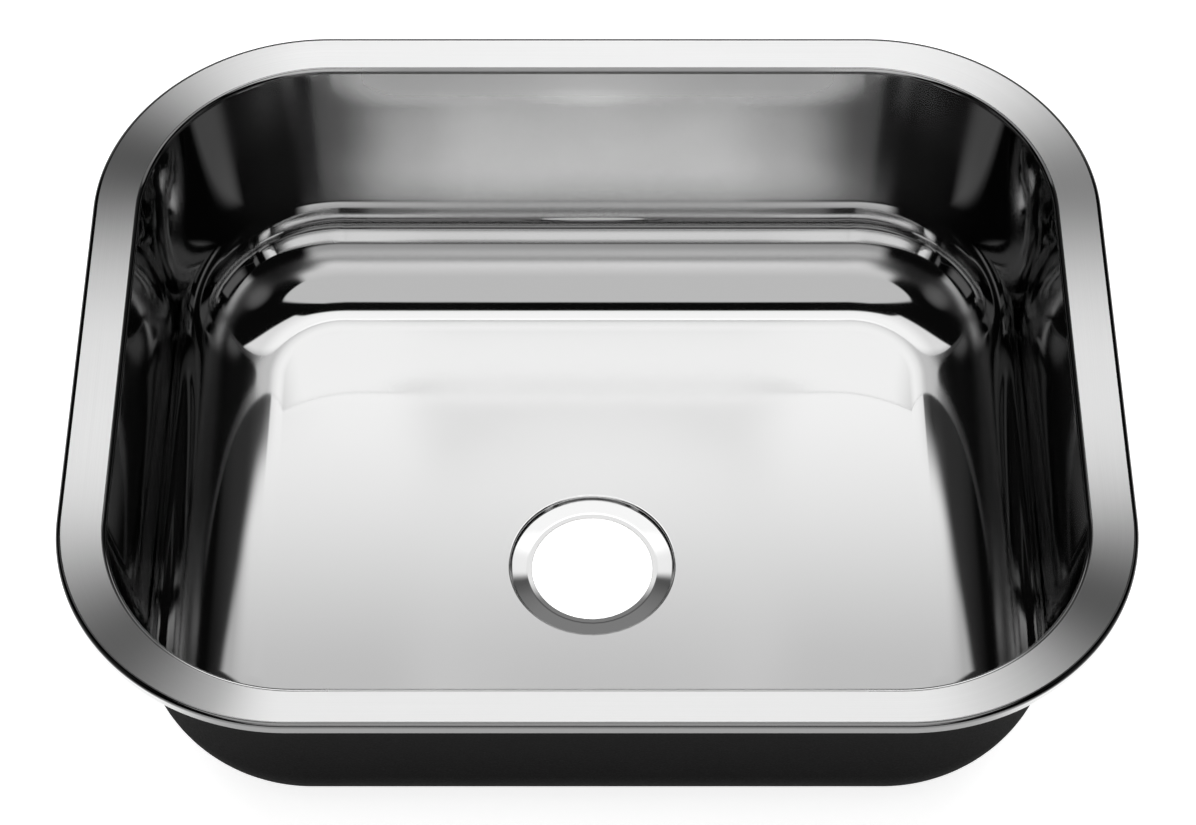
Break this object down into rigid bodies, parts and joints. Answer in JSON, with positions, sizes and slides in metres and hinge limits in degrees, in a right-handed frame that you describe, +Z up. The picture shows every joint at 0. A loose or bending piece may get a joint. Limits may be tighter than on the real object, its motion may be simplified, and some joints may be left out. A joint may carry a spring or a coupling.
{
  "type": "undermount kitchen sink",
  "caption": "Single-bowl undermount stainless kitchen sink with a rolled rim, rounded corners, recessed drain seat, black sound coat and swing-out mounting clips.",
  "frame": {"origin": "middle of the rim's outline, in the plane of the rim's flat top, which meets the underside of the worktop", "axes": "+X to the right, +Y to the back, +Z up; the drain is forward of the middle"},
  "size_m": [0.6666, 0.5466, 0.1958],
  "materials": {
    "bowl_steel": "satin-brushed rim and floor, brighter drawn walls",
    "sound_coat": "matt black sprayed sound and condensation coat, fine texture",
    "pad_rubber": "dense moulded rubber, matt",
    "bracket_steel": "pressed stainless sheet, satin",
    "clip_steel": "zinc-plated pressed steel",
    "stud_steel": "bright zinc plate",
    "nut_steel": "bright zinc plate"
  },
  "bodies": {
    "sink": {"bowl": "bowl_steel", "undercoat": "sound_coat", "bottom_pad_left": "pad_rubber", "bottom_pad_right": "pad_rubber", "bottom_pad_rear": "pad_rubber", "side_pad_left": "pad_rubber", "side_pad_right": "pad_rubber", "back_pad": "pad_rubber", "bracket_1": "bracket_steel", "stud_1": "stud_steel", "bracket_2": "bracket_steel", "stud_2": "stud_steel", "bracket_3": "bracket_steel", "stud_3": "stud_steel", "bracket_4": "bracket_steel", "stud_4": "stud_steel", "bracket_5": "bracket_steel", "stud_5": "stud_steel", "bracket_6": "bracket_steel", "stud_6": "stud_steel", "bracket_7": "bracket_steel", "stud_7": "stud_steel", "bracket_8": "bracket_steel", "stud_8": "stud_steel"},
    "clip_1": {"clip_1": "clip_steel"},
    "nut_1": {"nut_1": "nut_steel"},
    "clip_2": {"clip_2": "clip_steel"},
    "nut_2": {"nut_2": "nut_steel"},
    "clip_3": {"clip_3": "clip_steel"},
    "nut_3": {"nut_3": "nut_steel"},
    "clip_4": {"clip_4": "clip_steel"},
    "nut_4": {"nut_4": "nut_steel"},
    "clip_5": {"clip_5": "clip_steel"},
    "nut_5": {"nut_5": "nut_steel"},
    "clip_6": {"clip_6": "clip_steel"},
    "nut_6": {"nut_6": "nut_steel"},
    "clip_7": {"clip_7": "clip_steel"},
    "nut_7": {"nut_7": "nut_steel"},
    "clip_8": {"clip_8": "clip_steel"},
    "nut_8": {"nut_8": "nut_steel"}
  },
  "joints": [
    {"name": "clip_1_swing", "type": "hinge", "parent": "sink", "child": "clip_1", "pos_m": [-0.15, -0.2573, -0.0096], "axis": [0, 0, -1], "range_deg": [0, 90]},
    {"name": "nut_1_spin", "type": "hinge", "parent": "sink", "child": "nut_1", "pos_m": [-0.15, -0.2573, -0.014], "axis": [0, 0, 1], "continuous": true},
    {"name": "clip_2_swing", "type": "hinge", "parent": "sink", "child": "clip_2", "pos_m": [0.15, -0.2573, -0.0096], "axis": [0, 0, 1], "range_deg": [0, 90]},
    {"name": "nut_2_spin", "type": "hinge", "parent": "sink", "child": "nut_2", "pos_m": [0.15, -0.2573, -0.014], "axis": [0, 0, 1], "continuous": true},
    {"name": "clip_3_swing", "type": "hinge", "parent": "sink", "child": "clip_3", "pos_m": [0.3173, -0.092, -0.0096], "axis": [0, 0, -1], "range_deg": [0, 90]},
    {"name": "nut_3_spin", "type": "hinge", "parent": "sink", "child": "nut_3", "pos_m": [0.3173, -0.092, -0.014], "axis": [0, 0, 1], "continuous": true},
    {"name": "clip_4_swing", "type": "hinge", "parent": "sink", "child": "clip_4", "pos_m": [0.3173, 0.088, -0.0096], "axis": [0, 0, 1], "range_deg": [0, 90]},
    {"name": "nut_4_spin", "type": "hinge", "parent": "sink", "child": "nut_4", "pos_m": [0.3173, 0.088, -0.014], "axis": [0, 0, 1], "continuous": true},
    {"name": "clip_5_swing", "type": "hinge", "parent": "sink", "child": "clip_5", "pos_m": [0.15, 0.2573, -0.0096], "axis": [0, 0, -1], "range_deg": [0, 90]},
    {"name": "nut_5_spin", "type": "hinge", "parent": "sink", "child": "nut_5", "pos_m": [0.15, 0.2573, -0.014], "axis": [0, 0, 1], "continuous": true},
    {"name": "clip_6_swing", "type": "hinge", "parent": "sink", "child": "clip_6", "pos_m": [-0.15, 0.2573, -0.0096], "axis": [0, 0, 1], "range_deg": [0, 90]},
    {"name": "nut_6_spin", "type": "hinge", "parent": "sink", "child": "nut_6", "pos_m": [-0.15, 0.2573, -0.014], "axis": [0, 0, 1], "continuous": true},
    {"name": "clip_7_swing", "type": "hinge", "parent": "sink", "child": "clip_7", "pos_m": [-0.3173, 0.088, -0.0096], "axis": [0, 0, -1], "range_deg": [0, 90]},
    {"name": "nut_7_spin", "type": "hinge", "parent": "sink", "child": "nut_7", "pos_m": [-0.3173, 0.088, -0.014], "axis": [0, 0, 1], "continuous": true},
    {"name": "clip_8_swing", "type": "hinge", "parent": "sink", "child": "clip_8", "pos_m": [-0.3173, -0.092, -0.0096], "axis": [0, 0, 1], "range_deg": [0, 90]},
    {"name": "nut_8_spin", "type": "hinge", "parent": "sink", "child": "nut_8", "pos_m": [-0.3173, -0.092, -0.014], "axis": [0, 0, 1], "continuous": true}
  ]
}
